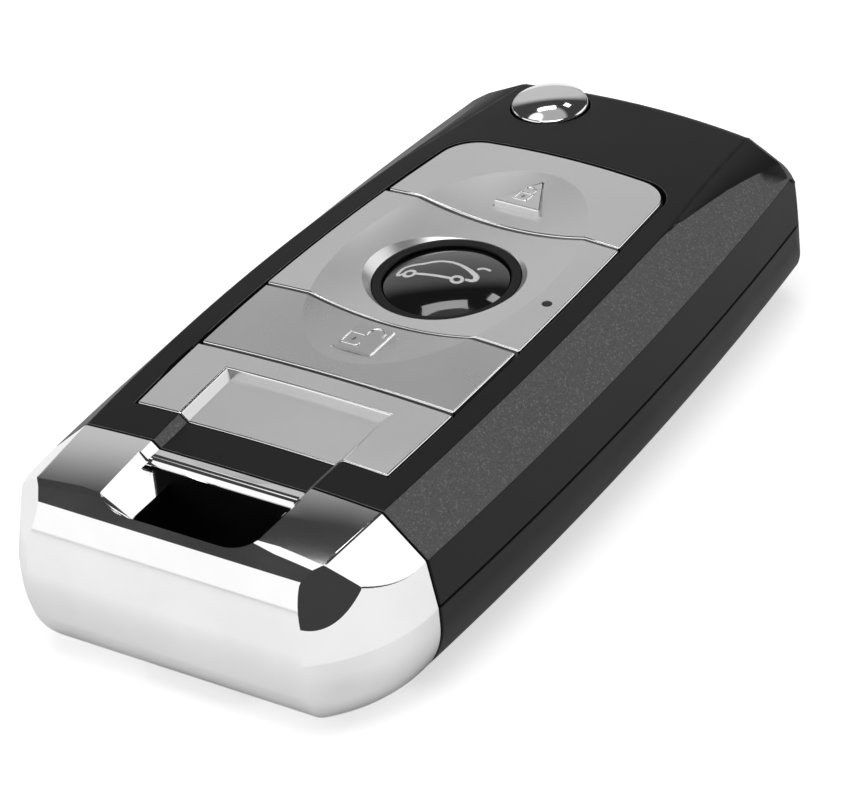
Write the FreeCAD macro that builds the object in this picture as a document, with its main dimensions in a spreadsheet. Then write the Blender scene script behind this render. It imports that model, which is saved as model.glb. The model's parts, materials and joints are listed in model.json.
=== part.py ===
"""Flip remote key shell: two-part body, chrome keyring cap, three buttons, flip-out key blade.

Frame: origin under the middle of the body on the plane it lies on, +Z up through the button panel,
+Y towards the end where the blade swings out, X across.  Millimetres.
"""
import FreeCAD, Part
import math
import os
import re

SIZES = {
    # body outline, seen from above: barrel sides, arched far end, rounded far corners
    "half_width": 19.3,
    "side_radius": 420.0,
    "widest_y": -8.2,
    "far_end_y": 38.1,
    "far_end_radius": 86.0,
    "far_corner": 3.2,
    "foot_round": 3.0,
    "far_draft": 0.42,
    "far_rim": 1.3,
    # body section: round belly, parting line, shoulder, textured bevel, crowned top
    "belly_radius": 7.2,
    "parting_z": 8.75,
    "shoulder_z": 13.05,
    "shoulder_in": 0.73,
    "bevel_top_z": 17.6,
    "bevel_top_half": 14.2,
    "bevel_top_radius": 173.0,
    "crown_z": 17.4,
    "crown_y": -7.4,
    "crown_across": 212.0,
    "crown_along": 535.0,
    "facet_x": 13.04,
    "facet_y": 25.26,
    "facet_z": 15.87,
    "facet_lean": 24.9,
    "facet_turn": 14.3,
    # walls and fits
    "wall": 1.5,
    "floor_wall": 1.5,
    "fit_gap": 0.05,
    "run_gap": 0.08,
    "seam_gap": 0.14,
    "loose_gap": 0.2,
    # chrome end cap
    "joint_y": -26.75,
    "joint_gap": 0.12,
    "cap_front_y": -38.1,
    "bulge_radius": 14.27,
    "bulge_z": 8.06,
    "cap_corner": 13.2,
    "cap_corner_y": -27.4,
    "lip_y": -36.2,
    "lip_z": 15.2,
    "lip_slope": 38.0,
    "cap_facet_x": 13.25,
    "cap_facet_y": -35.15,
    "cap_facet_z": 15.93,
    "cap_facet_turn": 47.8,
    "cap_facet_lean": 66.3,
    "bar_front_y": -28.5,
    "slot_front_y": -35.75,
    "slot_wall_y": -34.85,
    "slot_half": 5.3,
    "slot_top_half": 7.9,
    "slot_funnel": 2.6,
    "funnel_drop": 0.5,
    "slot_corner": 2.0,
    "bar_round": 0.9,
    # button panel
    "panel_half": 12.53,
    "panel_radius": 316.0,
    "panel_near_y": -22.73,
    "unlock_near_y": -13.3,
    "unlock_far_y": -3.44,
    "lock_near_y": 14.05,
    "panel_far_y": 25.4,
    "panel_far_radius": 92.0,
    "panel_corner": 3.5,
    "plate_drop": 2.45,
    "skin": 1.0,
    "flange": 0.5,
    "flange_lip": 0.55,
    "press": 0.4,
    "button_wall": 1.3,
    "hollow_drop": 0.25,
    # thumb dish across the middle of the panel
    "dish_y": 5.4,
    "dish_z": 15.64,
    "dish_across": 33.6,
    "dish_along": 104.0,
    "dish_tilt": 1.37,
    # trunk button with its black ring
    "trunk_y": 5.1,
    "trunk_ring_r": 6.4,
    "trunk_ring_z": 15.65,
    "trunk_r": 5.35,
    "trunk_edge_z": 15.4,
    "trunk_rise": 0.75,
    "bezel_r": 7.4,
    "bezel_z": 16.7,
    # raised pads under the lock and unlock marks
    "pad_depth": 1.6,
    "lock_pad_half": 2.37,
    "lock_pad_y": 16.43,
    "lock_pad_tip_y": 20.94,
    "lock_pad_z": 16.69,
    "lock_pad_tip_z": 16.47,
    "lock_pad_tip_half": 0.05,
    "unlock_pad_half": 1.9,
    "unlock_pad_near_y": -9.31,
    "unlock_pad_far_y": -5.3,
    "unlock_pad_z": 17.2,
    # channel from the lower plate to the keyring slot
    "channel_half": 7.05,
    "channel_top_half": 7.85,
    "channel_drop": 0.7,
    "channel_far_y": -15.8,
    # blade pivot, flip mechanism and release button
    "slot_wall": 1.0,
    "room_far": 26.6,
    "pivot_x": -6.9,
    "pivot_y": 33.3,
    "release_r": 3.44,
    "release_hole_r": 3.57,
    "release_edge_z": 16.05,
    "release_rise": 0.8,
    "release_under_z": 12.7,
    "release_press": 1.5,
    "skirt_z": 9.7,
    "key_width": 1.2,
    "key_reach": 3.35,
    "head_r": 4.3,
    "head_bottom": 4.8,
    "head_top": 9.6,
    "head_floor": 1.1,
    "head_bore": 3.0,
    "collar_r": 3.5,
    "collar_top": 11.0,
    "head_outer": 10.0,
    "head_inner": 3.1,
    "head_front_y": 26.05,
    "post_r": 1.25,
    "swing_gap": 0.25,
    "swing_low": 0.1,
    "sweep_extra": 0.45,
    "lane_end": 0.6,
    # key blade
    "blade_width": 7.6,
    "blade_thick": 2.1,
    "blade_z": 6.2,
    "blade_offset": 6.9,
    "blade_root_y": 26.0,
    "blade_tip_y": -23.5,
    "blade_nose": 5.0,
    "blade_tip_half": 1.2,
    "groove_width": 2.2,
    "groove_depth": 0.5,
    "groove_end": 3.0,
    "tang_width": 4.2,
    "tang_length": 7.0,
    "pin_r": 0.8,
    "pin_bore": 0.42,
    "pin_slit_half": 0.1,
    "blade_clear": 0.35,
    "blade_side_gap": 0.3,
    # flip spring
    "wire": 0.5,
    "spring_r": 2.45,
    "spring_turns": 3.0,
    # circuit board and what is on it
    "board_gap": 0.3,
    "board_right": 14.2,
    "board_near": -24.6,
    "board_far": 24.6,
    "board_z": 7.7,
    "board_thick": 1.0,
    "board_corner": 1.0,
    "board_post_r": 1.3,
    "board_post_in": 2.0,
    "switch_side": 4.5,
    "switch_tall": 1.5,
    "switch_pin_r": 1.0,
    "switch_pin": 0.35,
    "pad_sheet": 0.6,
    "pad_wall": 1.0,
    "pad_near": -12.6,
    "pad_far": 24.2,
    "pad_right": 13.0,
    "pad_corner": 1.5,
    "nub_r": 1.5,
    "nub_tall": 0.45,
    "led_x": 10.85,
    "led_y": 3.78,
    "led_r": 0.4,
    "pipe_lift": 0.3,
    "chip_left": 1.0,
    "chip_near": -19.6,
    "chip_wide": 5.0,
    "chip_long": 4.0,
    "chip_tall": 1.2,
    "crystal_left": -7.0,
    "crystal_near": -17.0,
    "crystal_wide": 3.2,
    "crystal_long": 2.5,
    "crystal_tall": 0.9,
    "crystal_corner": 0.4,
    # transponder beside the coin cell
    "tag_left": -3.0,
    "tag_near": -16.9,
    "tag_wide": 12.0,
    "tag_long": 4.0,
    "tag_tall": 2.6,
    "tag_corner": 0.6,
    # coin cell and contacts
    "cell_x": 3.5,
    "cell_y": 0.0,
    "cell_r": 10.0,
    "cell_thick": 3.2,
    "cell_can": 2.56,
    "cell_lid_r": 8.9,
    "strip": 0.3,
    "strip_width": 4.0,
    "leaf_near": 1.0,
    "leaf_leg": 4.0,
    "leaf_far": 8.0,
    "cradle_wall": 0.9,
    "cradle_tall": 2.6,
    # screws: two through the cap's lugs, one in the far corner
    "near_screw_y": -21.6,
    "right_screw_x": 11.0,
    "far_screw_x": 9.5,
    "far_screw_y": 30.5,
    "screw_r": 0.95,
    "screw_head_r": 1.8,
    "screw_head": 1.2,
    "screw_sink": 0.5,
    "cross_half": 1.1,
    "cross_slot": 0.2,
    "cross_deep": 0.7,
    "screw_reach": 12.2,
    "boss_r": 2.6,
    "top_boss_r": 2.0,
    "lug_r": 4.1,
    "lug_low": 4.2,
    "lug_high": 7.3,
}

doc = FreeCAD.newDocument("flip_remote_key")
sheet = doc.addObject("Spreadsheet::Sheet", "Sizes")
for row, (word, number) in enumerate(SIZES.items(), start=1):
    sheet.set(f"A{row}", word)
    sheet.set(f"B{row}", str(number))
    sheet.setAlias(f"B{row}", word)
doc.recompute()


def size(word):
    """A value read back from the sheet."""
    return float(sheet.get(word))


def formula(text):
    """The same formula with every size named through the sheet."""
    return re.sub(r"[a-z_]+", lambda m: "Sizes." + m[0] if m[0] in SIZES else m[0], str(text))


def bind(obj, **formulas):
    """Tie properties to formulas on the sheet; x, y and z stand for the place."""
    for prop, text in formulas.items():
        path = f".Placement.Base.{prop}" if prop in ("x", "y", "z") else prop
        obj.setExpression(path, formula(text))
    return obj


def box(name, x0, x1, y0, y1, z0, z1):
    block = doc.addObject("Part::Box", name)
    return bind(block, Length=f"({x1}) - ({x0})", Width=f"({y1}) - ({y0})",
                Height=f"({z1}) - ({z0})", x=x0, y=y0, z=z0)


def post(name, x, y, z0, z1, radius):
    rod = doc.addObject("Part::Cylinder", name)
    return bind(rod, Radius=radius, Height=f"({z1}) - ({z0})", x=x, y=y, z=z0)


def cone(name, x, y, z0, z1, radius0, radius1):
    frustum = doc.addObject("Part::Cone", name)
    return bind(frustum, Radius1=radius0, Radius2=radius1, Height=f"({z1}) - ({z0})", x=x, y=y, z=z0)


def common(name, *pieces):
    result = pieces[0]
    for count, piece in enumerate(pieces[1:], start=1):
        last = count == len(pieces) - 1
        joined = doc.addObject("Part::Common", name if last else f"{name}_meet{count}")
        joined.Base = result
        joined.Tool = piece
        result = joined
    return result


def fuse(name, *pieces):
    whole = doc.addObject("Part::MultiFuse", name)
    whole.Shapes = list(pieces)
    whole.Refine = True
    return whole


def cut(name, base, *tools):
    result = base
    for count, tool in enumerate(tools, start=1):
        removed = doc.addObject("Part::Cut", name if count == len(tools) else f"{name}_less{count}")
        removed.Base = result
        removed.Tool = tool
        result = removed
    return result


def fillet(name, base, radius, chosen):
    """Round the edges that the test picks, all by the same radius."""
    doc.recompute()
    rounded = doc.addObject("Part::Fillet", name)
    rounded.Base = base
    picks = [(i, radius, radius) for i, edge in enumerate(base.Shape.Edges, start=1) if chosen(edge)]
    rounded.Edges = picks
    doc.recompute()
    return rounded


def turned(obj, axis, degrees):
    """Give a primitive its tilt; its place stays bound to the sheet."""
    obj.Placement = FreeCAD.Placement(obj.Placement.Base, FreeCAD.Rotation(FreeCAD.Vector(*axis), degrees))
    return obj


def upright(edge):
    start, end = edge.Vertexes[0].Point, edge.Vertexes[-1].Point
    return abs(start.x - end.x) + abs(start.y - end.y) < 0.6 and abs(start.z - end.z) > 0.5


# Shared surfaces of the body

def lens(name, half, radius, z0, z1):
    """Upright prism between two barrel sides."""
    left = post(name + "_left", f"({half}) - ({radius})", "widest_y", z0, z1, radius)
    right = post(name + "_right", f"({radius}) - ({half})", "widest_y", z0, z1, radius)
    return common(name, left, right)


def crown(name, drop):
    """Ring whose top is the crowned face of the body, lowered by the drop."""
    ring = doc.addObject("Part::Torus", name)
    bind(ring, Radius1="crown_along - crown_across", Radius2=f"crown_across - ({drop})",
         y="crown_y", z="crown_z - crown_along")
    return turned(ring, (0, 1, 0), 90)


def barrel_outline(name, half, radius, z):
    """Closed outline of two barrel sides and two straight ends far outside the body."""
    reach = 48.0
    centre_y = size("widest_y")
    corners = []
    for y in (-reach, reach):
        corners.append(half - (radius - math.sqrt(radius**2 - (y - centre_y) ** 2)))
    near, far = corners
    right = Part.Arc(FreeCAD.Vector(near, -reach, z), FreeCAD.Vector(half, centre_y, z),
                     FreeCAD.Vector(far, reach, z))
    left = Part.Arc(FreeCAD.Vector(-far, reach, z), FreeCAD.Vector(-half, centre_y, z),
                    FreeCAD.Vector(-near, -reach, z))
    top = Part.LineSegment(FreeCAD.Vector(far, reach, z), FreeCAD.Vector(-far, reach, z))
    bottom = Part.LineSegment(FreeCAD.Vector(-near, -reach, z), FreeCAD.Vector(near, -reach, z))
    outline = doc.addObject("Part::Feature", name)
    outline.Shape = Part.Wire([right.toShape(), top.toShape(), left.toShape(), bottom.toShape()])
    return outline


def upper_section(name, inset):
    """Body above the parting line: leaning side up to the shoulder, then the wide bevel.

    An inner wall's shoulder drops by a part of the wall and its top edge moves in by more than the wall,
    so that the wall keeps its thickness square to the leaning bevel.
    """
    side = size("half_width") - inset
    shoulder = side - size("shoulder_in")
    radius = size("side_radius")
    rims = [
        barrel_outline(name + "_parting", side, radius, size("parting_z")),
        barrel_outline(name + "_shoulder", shoulder, radius, size("shoulder_z") - 0.4 * inset),
        barrel_outline(name + "_top", size("bevel_top_half") - 1.4 * inset, size("bevel_top_radius"),
                       size("bevel_top_z")),
    ]
    loft = doc.addObject("Part::Loft", name)
    loft.Sections = rims
    loft.Solid = True
    loft.Ruled = True
    return loft


def lower_section(name, inset, z0):
    """Body below the parting line: upright side and round belly."""
    prism = lens(name + "_prism", f"half_width - {inset}", "side_radius", z0, "parting_z")
    low = size("floor_wall") if inset else 0.0
    belly = size("belly_radius") - inset
    return fillet(name, prism, belly,
                  lambda e: e.Vertexes[0].Point.z < low + 0.01 and e.Vertexes[-1].Point.z < low + 0.01)


def far_outline(name, z0, z1, low_radius, high_radius):
    """Prism that gives the arched far end and its rounded corners."""
    sides = lens(name + "_sides", "half_width", "side_radius", z0, z1)
    end = cone(name + "_end", "0", "far_end_y - far_end_radius", z0, z1, low_radius, high_radius)
    near = box(name + "_near", "-30", "30", "joint_y + joint_gap / 2", "60", z0, z1)
    blunt = common(name + "_blunt", sides, near, end)
    return fillet(name, blunt, size("far_corner"), lambda e: upright(e) and e.CenterOfMass.y > 20)


crown_top = crown("crown_top", "0")
crown_plate = crown("crown_plate", "plate_drop")
crown_ceiling = crown("crown_ceiling", "plate_drop + skin")
crown_flange_top = crown("crown_flange_top", "plate_drop + skin + run_gap")
crown_flange_low = crown("crown_flange_low", "plate_drop + skin + run_gap + flange")
crown_skin = crown("crown_skin", "plate_drop + skin / 2")
crown_shell = crown("crown_shell", "plate_drop + hollow_drop")
crown_channel = crown("crown_channel", "channel_drop")

dish = doc.addObject("Part::Torus", "dish")
bind(dish, Radius1="dish_along - dish_across", Radius2="dish_across",
     y="dish_y + dish_along * sin(dish_tilt)", z="dish_z + dish_along * cos(dish_tilt)")
turned(dish, (0, 1, 0), 90)


def panel(name, grow, y0, y1, z0="8", z1="20"):
    """Upright prism with the barrel sides of the button panel, arched where it reaches the far edge."""
    sides = lens(name + "_sides", f"panel_half + ({grow})", "panel_radius", z0, z1)
    slab = box(name + "_slab", "-20", "20", y0, y1, z0, z1)
    return common(name, sides, slab)


def far_panel(name, grow, y0, z0="8", z1="20"):
    sides = lens(name + "_sides", f"panel_half + ({grow})", "panel_radius", z0, z1)
    slab = box(name + "_slab", "-20", "20", y0, "40", z0, z1)
    arch = post(name + "_arch", "0", "panel_far_y - panel_far_radius", z0, z1,
                f"panel_far_radius + ({grow})")
    blunt = common(name + "_blunt", sides, slab, arch)
    return fillet(name, blunt, size("panel_corner"),
                  lambda e: upright(e) and e.CenterOfMass.y > size("lock_near_y") + 4)


def channel(name, y0, y1):
    """Trough with sloping sides, as deep as the channel all along the crown."""
    wedge = doc.addObject("Part::Wedge", name + "_wedge")
    slope = "(channel_top_half - channel_half) / channel_drop"
    bind(wedge, Xmin="-(channel_half)", Xmax="channel_half", Zmin="0", Zmax=f"({y1}) - ({y0})",
         X2min=f"-(channel_half + 3 * {slope})", X2max=f"channel_half + 3 * {slope}",
         Z2min="0", Z2max=f"({y1}) - ({y0})", Ymin="0", Ymax="3", y=y1, z="crown_z - channel_drop - 0.4")
    turned(wedge, (1, 0, 0), 90)
    return cut(name, wedge, crown_channel)


# The room beside the folded blade is what the board, the cap's left lug and its screw keep to
lane_x = "(pivot_x - blade_offset + blade_width / 2 + blade_side_gap)"
room_left = f"({lane_x} + slot_wall)"
board_left = f"({room_left} + board_gap)"
left_screw_x = f"({room_left} + lug_r + loose_gap)"

SCREWS = {"left": (left_screw_x, "near_screw_y"), "right": ("right_screw_x", "near_screw_y"),
          "far": ("far_screw_x", "far_screw_y")}

# Space that the blade head sweeps as the blade flips out, and the slot the blade folds into

swing_z = ("head_bottom - swing_low", "head_top + loose_gap")
head_sweep = common("head_sweep",
                    post("sweep_round", "pivot_x", "pivot_y", *swing_z, "head_outer + sweep_extra"),
                    box("sweep_far", "-30", "30", "pivot_y - head_r - swing_gap / 2", "60", *swing_z))
head_gate = box("head_gate", "pivot_x", "pivot_x + head_outer + swing_gap", "pivot_y", "60", *swing_z)
head_room = post("head_room", "pivot_x", "pivot_y", *swing_z, "head_r + swing_gap / 2")
head_lane = box("head_lane", "-30", "pivot_x - head_inner + swing_gap", "head_front_y - lane_end", "60",
                *swing_z)
blade_lane = box("blade_lane", "-30", lane_x, "blade_tip_y - lane_end", "head_front_y + 1",
                 "blade_z - blade_clear", "parting_z + 0.001")
swing_space = fuse("swing_space", head_sweep, head_gate, head_room, head_lane, blade_lane)


def facet(name, x, y, z, lean, turn):
    """Thick disc whose flat lower face is the sloping plane; it trims what stands above the plane."""
    disc = post(name, x, y, z, f"({z}) + 20", "45")
    tilt = FreeCAD.Rotation(FreeCAD.Vector(0, 0, 1), turn).multiply(
        FreeCAD.Rotation(FreeCAD.Vector(0, 1, 0), lean))
    disc.Placement = FreeCAD.Placement(disc.Placement.Base, tilt)
    return disc


# Bottom shell

bottom_outline = far_outline("bottom_outline", "0", "parting_z", "far_end_radius", "far_end_radius")
bottom_foot = fillet("bottom_foot", bottom_outline, size("foot_round"),
                     lambda e: max(v.Point.z for v in e.Vertexes) < 0.01 and e.CenterOfMass.y > 30)
bottom_block = common("bottom_block", bottom_foot, lower_section("belly", 0.0, "0"))
side_room_left = "pivot_x + head_outer + swing_gap + wall"
side_room_far = "far_end_y - 2 * wall"
bottom_rooms = fuse("bottom_rooms",
                    box("bottom_main", room_left, "30", "joint_y + wall", "room_far", "0", "20"),
                    box("bottom_side", side_room_left, "30", "20", side_room_far, "0", "20"))
bottom_room = common("bottom_room", lower_section("inside_belly", size("wall"), "floor_wall"), bottom_rooms)
bottom_bosses = [post(f"{side}_boss", x, y, "floor_wall / 2", "board_z", "boss_r")
                 for side, (x, y) in SCREWS.items()]
bottom_holes = [post(f"{side}_shank_hole", x, y, "-1", "board_z + 1", "screw_r + run_gap")
                for side, (x, y) in SCREWS.items()]
bottom_sinks = [post(f"{side}_head_hole", x, y, "-1", "screw_sink + screw_head",
                     "screw_head_r + seam_gap") for side, (x, y) in SCREWS.items()]
cradle = cut("cradle",
             post("cradle_out", "cell_x", "cell_y", "floor_wall / 2", "floor_wall + cradle_tall",
                  "cell_r + seam_gap + cradle_wall"),
             post("cradle_in", "cell_x", "cell_y", "0", "9", "cell_r + seam_gap"),
             box("cradle_gap", "cell_x - strip_width", "cell_x + strip_width", "cell_y - 15",
                 "cell_y + 15", "0", "9"))
board_posts = [post(f"board_post_{side}", x, "board_far - board_post_in", "floor_wall / 2", "board_z",
                    "board_post_r")
               for side, x in (("left", f"{board_left} + board_post_in"),
                               ("right", "board_right - board_post_in"))]
lug_windows = [box(f"{side}_lug_window", f"{SCREWS[side][0]} - lug_r - run_gap",
                   f"{SCREWS[side][0]} + lug_r + run_gap", "joint_y - 1", "joint_y + wall + loose_gap",
                   "lug_low - run_gap", "lug_high + run_gap") for side in ("left", "right")]
pivot_post = post("pivot_post", "pivot_x", "pivot_y", "head_bottom - 1",
                  "head_bottom + head_floor + loose_gap", "post_r")
bottom_hollow = cut("bottom_hollow", bottom_block, bottom_room, swing_space)
bottom_solid = fuse("bottom_solid", bottom_hollow, cradle, pivot_post, *bottom_bosses, *board_posts)
bottom_shell = cut("bottom_shell", bottom_solid, *bottom_holes, *bottom_sinks, *lug_windows)

# Top shell

top_outline = far_outline("top_outline", "parting_z", "bevel_top_z + 0.6", "far_end_radius",
                          "far_end_radius - far_draft")
top_crisp = cut("top_crisp",
                common("top_hull", top_outline, upper_section("hull", 0.0), crown_top),
                facet("right_facet", "facet_x", "facet_y", "facet_z", size("facet_lean"),
                      size("facet_turn")),
                facet("left_facet", "-(facet_x)", "facet_y", "facet_z", size("facet_lean"),
                      180 - size("facet_turn")))


def far_crease(edge):
    """An edge of the far end's rim, or a long side of one of its two facets."""
    middle = edge.CenterOfMass
    rim_y = size("far_end_y") - 2.1
    level = abs(edge.Vertexes[0].Point.z - edge.Vertexes[-1].Point.z) < 3.5
    rim = level and middle.y > rim_y and middle.z > size("shoulder_z") - 1
    facet_side = (size("facet_y") - 0.3 < middle.y < rim_y and middle.z > size("facet_z") - 1.9
                  and abs(middle.x) > size("facet_x") - 1)
    return rim or facet_side


top_block = fillet("top_block", top_crisp, size("far_rim"), far_crease)
top_rooms = fuse("top_rooms",
                 box("top_main", room_left, "30", "joint_y + wall", "room_far", "0", "30"),
                 box("top_wing", "-30", f"{room_left} + 1", "joint_y + wall", "head_front_y - 2",
                     "parting_z + wall", "30"),
                 box("top_shelf", "-30", "0", "head_front_y - 3", "room_far",
                     "head_top + loose_gap + wall", "30"),
                 box("top_side", side_room_left, "30", "20", side_room_far, "0", "30"))
top_room = common("top_room", upper_section("inside", size("wall")), crown_ceiling, top_rooms)
recess = cut("recess", far_panel("recess_outline", "seam_gap", "panel_near_y - fit_gap"), crown_plate)
lock_opening = far_panel("lock_opening", "seam_gap", "lock_near_y - seam_gap")
unlock_opening = panel("unlock_opening", "seam_gap", "unlock_near_y - seam_gap",
                       "unlock_far_y + seam_gap")
trunk_hole = post("trunk_hole", "0", "trunk_y", "10", "30", "trunk_r + seam_gap")
led_hole = post("led_hole", "led_x", "led_y", "10", "30", "led_r + fit_gap")
release_hole = post("release_hole", "pivot_x", "pivot_y", "head_top", "30", "release_hole_r")
top_bosses = common("top_bosses",
                    fuse("top_posts", *[post(f"{side}_top_post", x, y, "board_z", "30", "top_boss_r")
                                        for side, (x, y) in SCREWS.items()]), crown_skin)
pilots = [post(f"{side}_pilot", x, y, "0", "screw_reach + loose_gap", "screw_r + fit_gap / 2")
          for side, (x, y) in SCREWS.items()]
top_hollow = cut("top_hollow", top_block, top_room, swing_space)
top_solid = fuse("top_solid", top_hollow, top_bosses)
top_shell = cut("top_shell", top_solid, recess, lock_opening, unlock_opening, trunk_hole, led_hole,
                release_hole, channel("shell_channel", "joint_y - 1", "channel_far_y"), *pilots)

# Chrome end cap with the keyring slot

corner_x = "half_width - (cap_corner_y - widest_y) ^ 2 / (2 * side_radius) - cap_corner"
cap_lean = "shoulder_in / (shoulder_z - parting_z)"


def on_floor(edge):
    return max(vertex.Point.z for vertex in edge.Vertexes) < 0.01


def round_foot(name, block):
    """The same round belly as the body's sides, along the front of a block or all round a disc."""
    return fillet(name, block, size("belly_radius"),
                  lambda e: on_floor(e) and (e.Closed or e.CenterOfMass.y < size("cap_front_y") + 0.1))


cap_low = fuse("cap_low",
               round_foot("cap_low_right", post("cap_disc_right", corner_x, "cap_corner_y", "0", "parting_z",
                                                "cap_corner")),
               round_foot("cap_low_left", post("cap_disc_left", f"-({corner_x})", "cap_corner_y", "0",
                                               "parting_z", "cap_corner")),
               round_foot("cap_low_middle", box("cap_slab", f"-({corner_x})", corner_x,
                                                "cap_corner_y - cap_corner", "cap_corner_y", "0",
                                                "parting_z")))
cap_high = fuse("cap_high",
                cone("cap_high_right", corner_x, "cap_corner_y", "parting_z", "crown_z + 1", "cap_corner",
                     f"cap_corner - {cap_lean} * (crown_z + 1 - parting_z)"),
                cone("cap_high_left", f"-({corner_x})", "cap_corner_y", "parting_z", "crown_z + 1",
                     "cap_corner", f"cap_corner - {cap_lean} * (crown_z + 1 - parting_z)"),
                box("cap_high_middle", f"-({corner_x})", corner_x, "-50", "cap_corner_y", "parting_z",
                    "crown_z + 1"))
bulge = turned(post("bulge", "-30", "cap_front_y + bulge_radius", "bulge_z", "bulge_z + 60", "bulge_radius"),
               (0, 1, 0), 90)
cap_side = box("cap_side", "-30", "30", "-60", "joint_y - joint_gap / 2", "-1", "30")
cap_foot = round_foot("cap_foot", box("cap_foot_block", "-30", "30", "cap_front_y", "0", "0", "parting_z"))
cap_low_part = common("cap_low_part", cap_low, bulge, cap_foot, cap_side)
cap_high_part = common("cap_high_part", cap_high, bulge, cap_side, upper_section("cap_hull", 0.0), crown_top)
cap_block = cut("cap_block", fuse("cap_whole", cap_low_part, cap_high_part),
                facet("cap_right_facet", "cap_facet_x", "cap_facet_y", "cap_facet_z",
                      size("cap_facet_lean"), -size("cap_facet_turn")),
                facet("cap_left_facet", "-(cap_facet_x)", "cap_facet_y", "cap_facet_z",
                      size("cap_facet_lean"), 180 + size("cap_facet_turn")),
                facet("cap_lip", "0", "lip_y", "lip_z", size("lip_slope"), -90))
slot_hole = fillet("slot_hole",
                   box("slot_box", "-(slot_half)", "slot_half", "slot_wall_y", "bar_front_y", "-1", "30"),
                   size("slot_corner"),
                   lambda e: upright(e) and e.CenterOfMass.y < size("slot_wall_y") + 0.1)
funnel = doc.addObject("Part::Wedge", "funnel_wedge")
bind(funnel, Xmin="-(slot_half)", Xmax="slot_half", Ymin="0", Ymax="slot_funnel", Zmin="0",
     Zmax="bar_front_y - slot_wall_y", X2min="-(slot_top_half)", X2max="slot_top_half", Z2min="0",
     Z2max="bar_front_y - slot_front_y", y="bar_front_y", z="crown_z - funnel_drop - slot_funnel")
turned(funnel, (1, 0, 0), 90)
slot_funnel = fillet("slot_funnel", funnel, size("slot_corner"),
                     lambda e: abs(e.Vertexes[0].Point.z - e.Vertexes[-1].Point.z) > 1
                     and e.CenterOfMass.y < size("slot_wall_y") - 0.1)
funnel_top = box("funnel_top", "-(slot_top_half)", "slot_top_half", "slot_front_y", "bar_front_y",
                 "crown_z - funnel_drop", "30")
lugs = []
for side in ("left", "right"):
    x, y = SCREWS[side]
    lug = fuse(f"{side}_lug_whole", post(f"{side}_lug_eye", x, y, "lug_low", "lug_high", "lug_r"),
               box(f"{side}_lug_arm", f"{x} - lug_r", f"{x} + lug_r", "joint_y - 1", y, "lug_low",
                   "lug_high"))
    lugs.append(cut(f"{side}_lug", lug, post(f"{side}_lug_hole", x, y, "0", "9", "boss_r + run_gap")))
bar_top = "(crown_z - channel_drop - (bar_front_y - crown_y) ^ 2 / (2 * crown_along))"
bar_nose = cut("bar_nose",
               box("bar_nose_block", "-(channel_half)", "channel_half", "bar_front_y - 1",
                   "bar_front_y + bar_round", f"{bar_top} - bar_round", f"{bar_top} + 1"),
               turned(post("bar_nose_round", "-(channel_half) - 1", "bar_front_y + bar_round",
                           f"{bar_top} - bar_round", f"{bar_top} - bar_round + 30", "bar_round"),
                      (0, 1, 0), 90))
cap_cut = cut("cap_cut", cap_block, slot_hole, slot_funnel, funnel_top, bar_nose,
              channel("cap_channel", "bar_front_y - 0.5", "joint_y + 1"))
end_cap = fuse("end_cap", cap_cut, *lugs)


# Silver plates of the panel, the trunk ring and the light pipe

lower_plate = cut("lower_plate",
                  common("lower_plate_block",
                         panel("lower_plate_outline", "0", "panel_near_y", "unlock_near_y - seam_gap"),
                         crown_top),
                  crown_plate, channel("lower_plate_channel", "panel_near_y - 1", "channel_far_y"))
bezel = cone("bezel", "0", "trunk_y", "trunk_ring_z", "bezel_z", "trunk_ring_r", "bezel_r")
middle_plate = cut("middle_plate",
                   common("middle_plate_block",
                          panel("middle_plate_outline", "0", "unlock_far_y + seam_gap",
                                "lock_near_y - seam_gap"), crown_top),
                   crown_plate, dish, bezel,
                   post("ring_hole", "0", "trunk_y", "10", "30", "trunk_ring_r + fit_gap / 2"),
                   post("plate_led_hole", "led_x", "led_y", "10", "30", "led_r + fit_gap"))
trunk_ring = cut("trunk_ring",
                 post("ring_out", "0", "trunk_y", "12", "trunk_ring_z", "trunk_ring_r"),
                 crown_plate, post("ring_in", "0", "trunk_y", "10", "30", "trunk_r + seam_gap"))
sheet_z = "board_z + board_thick + switch_tall + switch_pin + fit_gap"
plunger_z = f"{sheet_z} + pad_sheet + nub_tall + press + fit_gap"
pipe_low = f"{sheet_z} + pad_sheet + pipe_lift"
light_pipe = fuse("light_pipe",
                  common("pipe_rod", post("pipe_post", "led_x", "led_y", pipe_low, "30", "led_r"),
                         crown_top),
                  common("pipe_foot", post("pipe_disc", "led_x", "led_y", pipe_low, "30", "2 * led_r"),
                         crown_flange_top))


# Buttons: crowned cap, hollow below, with a flange that rests under the skin of the top shell

def button(name, cap, hollow, flange, plunger_y, extra):
    """One push button from its cap outline, the room under it, its flange and its plunger."""
    shell = cut(name + "_shell", common(name + "_cap", cap, crown_top), crown_flange_low, dish)
    whole = [cut(name + "_open", shell, common(name + "_room", hollow, crown_shell))]
    whole.append(cut(name + "_flange", common(name + "_lip", flange, crown_flange_top), crown_flange_low,
                     hollow))
    whole.append(common(name + "_plunger", post(name + "_rod", "0", plunger_y, plunger_z, "30", "nub_r"),
                        crown_plate))
    return fuse(name, *whole, *extra)


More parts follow.
